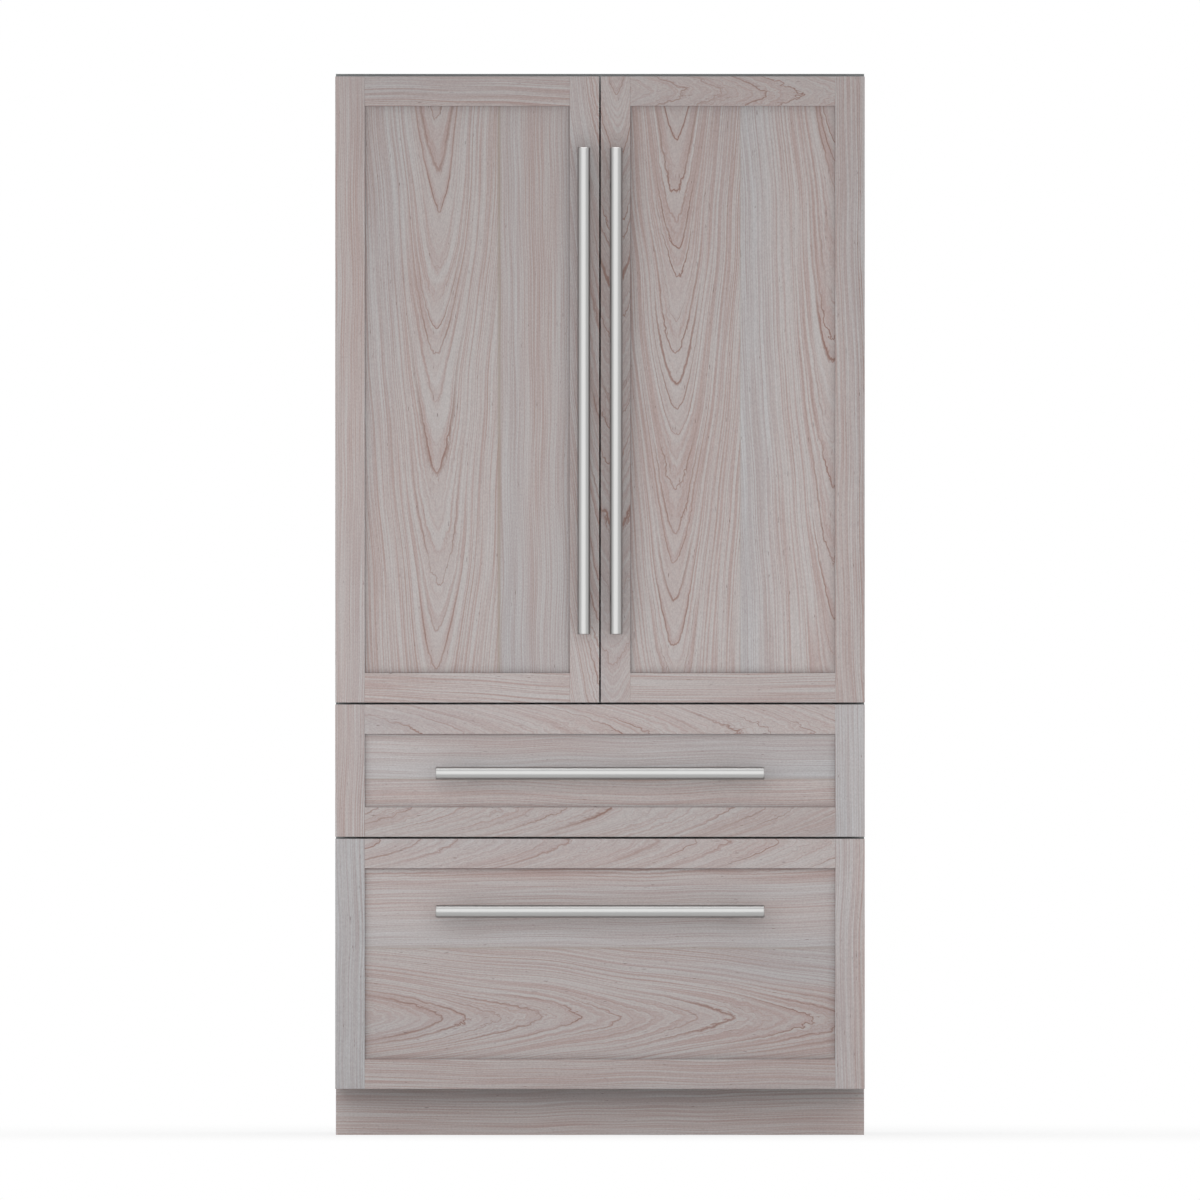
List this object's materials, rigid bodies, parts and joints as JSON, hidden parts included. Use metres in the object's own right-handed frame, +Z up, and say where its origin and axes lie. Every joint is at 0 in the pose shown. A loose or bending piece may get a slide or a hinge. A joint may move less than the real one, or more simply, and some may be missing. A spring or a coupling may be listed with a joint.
{
  "type": "built-in refrigerator",
  "caption": "Tall built-in refrigerator with french doors over full-width drawers, clad in framed timber fronts with round bar handles above a recessed toe board.",
  "frame": {"origin": "centre of the bounding box's base, on the floor that the part stands on", "axes": "+Z up; -Y out of the fronts, towards the user; +X to the user's right when facing them"},
  "size_m": [1.0606, 0.693, 2.127],
  "materials": {
    "timber": "matt, grey-washed open grain",
    "bar_steel": "satin, brushed along the bar",
    "case_paint": "satin grey paint",
    "front_paint": "satin grey paint",
    "zinc": "dull zinc coat",
    "liner_white": "smooth white",
    "clear": "clear, moulded",
    "seal": "soft grey",
    "foam": "cut foam",
    "shelf_glass": "clear, ground edges",
    "hinge_steel": "satin dark paint",
    "pin_steel": "turned",
    "runner_steel": "bright zinc",
    "fin_metal": "thin fins",
    "compressor_black": "semi-gloss black",
    "fan_plastic": "moulded black",
    "cover_plastic": "moulded pale grey",
    "shelf_metal": "white powder coat",
    "foot_plastic": "moulded black"
  },
  "bodies": {
    "cabinet": {"outer_wrapper": "case_paint", "rear_panel": "zinc", "case_insulation": "foam", "front_frame": "case_paint", "liners": "liner_white", "hinge_brackets": "hinge_steel", "hinge_pins": "pin_steel", "base_frame": "zinc", "toe_kick": "timber", "levelling_feet": "foot_plastic", "compressor": "compressor_black", "condenser": "fin_metal", "fan_shroud": "fan_plastic", "evaporator": "fin_metal", "evaporator_cover": "cover_plastic", "shelf_tracks": "shelf_metal", "shelf_frames": "shelf_metal", "shelf_glass": "shelf_glass", "controls_and_lamp": "cover_plastic", "crisper_frame": "cover_plastic", "fixed_runners": "runner_steel"},
    "left_door": {"left_door_stiles": "timber", "left_door_rails": "timber", "left_door_centre_panel": "timber", "left_door_pan": "front_paint", "left_door_liner": "liner_white", "left_door_gasket": "seal", "left_door_bins": "clear", "left_door_handle": "bar_steel"},
    "right_door": {"right_door_stiles": "timber", "right_door_rails": "timber", "right_door_centre_panel": "timber", "right_door_pan": "front_paint", "right_door_liner": "liner_white", "right_door_gasket": "seal", "right_door_bins": "clear", "right_door_handle": "bar_steel"},
    "middle_drawer": {"middle_drawer_stiles": "timber", "middle_drawer_rails": "timber", "middle_drawer_centre_panel": "timber", "middle_drawer_pan": "front_paint", "middle_drawer_gasket": "seal", "middle_drawer_basket": "liner_white", "middle_drawer_handle": "bar_steel", "middle_drawer_inner_runners": "runner_steel"},
    "middle_drawer_carriage": {"middle_drawer_middle_runners": "runner_steel"},
    "lower_drawer": {"lower_drawer_stiles": "timber", "lower_drawer_rails": "timber", "lower_drawer_centre_panel": "timber", "lower_drawer_pan": "front_paint", "lower_drawer_gasket": "seal", "lower_drawer_basket": "liner_white", "lower_drawer_handle": "bar_steel", "lower_drawer_inner_runners": "runner_steel"},
    "lower_drawer_carriage": {"lower_drawer_middle_runners": "runner_steel"},
    "flipper": {"flipper": "front_paint"},
    "left_crisper": {"left_crisper": "clear"},
    "right_crisper": {"right_crisper": "clear"},
    "condenser_fan": {"condenser_fan": "fan_plastic"},
    "evaporator_fan": {"evaporator_fan": "fan_plastic"}
  },
  "joints": [
    {"name": "left_door_hinge", "type": "hinge", "parent": "cabinet", "child": "left_door", "pos_m": [-0.5125, -0.24, 1.494], "axis": [0, 0, -1], "range_deg": [0, 110]},
    {"name": "right_door_hinge", "type": "hinge", "parent": "cabinet", "child": "right_door", "pos_m": [0.5125, -0.24, 1.494], "axis": [0, 0, 1], "range_deg": [0, 110]},
    {"name": "flipper_hinge", "type": "hinge", "parent": "left_door", "child": "flipper", "pos_m": [-0.034, -0.1887, 1.481], "axis": [0, 0, -1], "range_deg": [0, 90]},
    {"name": "middle_drawer_slide", "type": "slide", "parent": "cabinet", "child": "middle_drawer", "axis": [0, -1, 0], "range_m": [0, 0.4]},
    {"name": "middle_drawer_carriage_slide", "type": "slide", "parent": "cabinet", "child": "middle_drawer_carriage", "axis": [0, -1, 0], "range_m": [0, 0.2]},
    {"name": "lower_drawer_slide", "type": "slide", "parent": "cabinet", "child": "lower_drawer", "axis": [0, -1, 0], "range_m": [0, 0.4]},
    {"name": "lower_drawer_carriage_slide", "type": "slide", "parent": "cabinet", "child": "lower_drawer_carriage", "axis": [0, -1, 0], "range_m": [0, 0.2]},
    {"name": "left_crisper_slide", "type": "slide", "parent": "cabinet", "child": "left_crisper", "axis": [0, -1, 0], "range_m": [0, 0.085]},
    {"name": "right_crisper_slide", "type": "slide", "parent": "cabinet", "child": "right_crisper", "axis": [0, -1, 0], "range_m": [0, 0.085]},
    {"name": "condenser_fan_spin", "type": "hinge", "parent": "cabinet", "child": "condenser_fan", "pos_m": [0.0415, 0.23825, 0.115], "axis": [1, 0, 0], "continuous": true},
    {"name": "evaporator_fan_spin", "type": "hinge", "parent": "cabinet", "child": "evaporator_fan", "pos_m": [0, 0.2405, 0.4985], "axis": [0, 1, 0], "continuous": true}
  ],
  "couplings": [
    {"joint": "middle_drawer_carriage_slide", "follows": "middle_drawer_slide", "ratio": 0.5},
    {"joint": "lower_drawer_carriage_slide", "follows": "lower_drawer_slide", "ratio": 0.5}
  ]
}
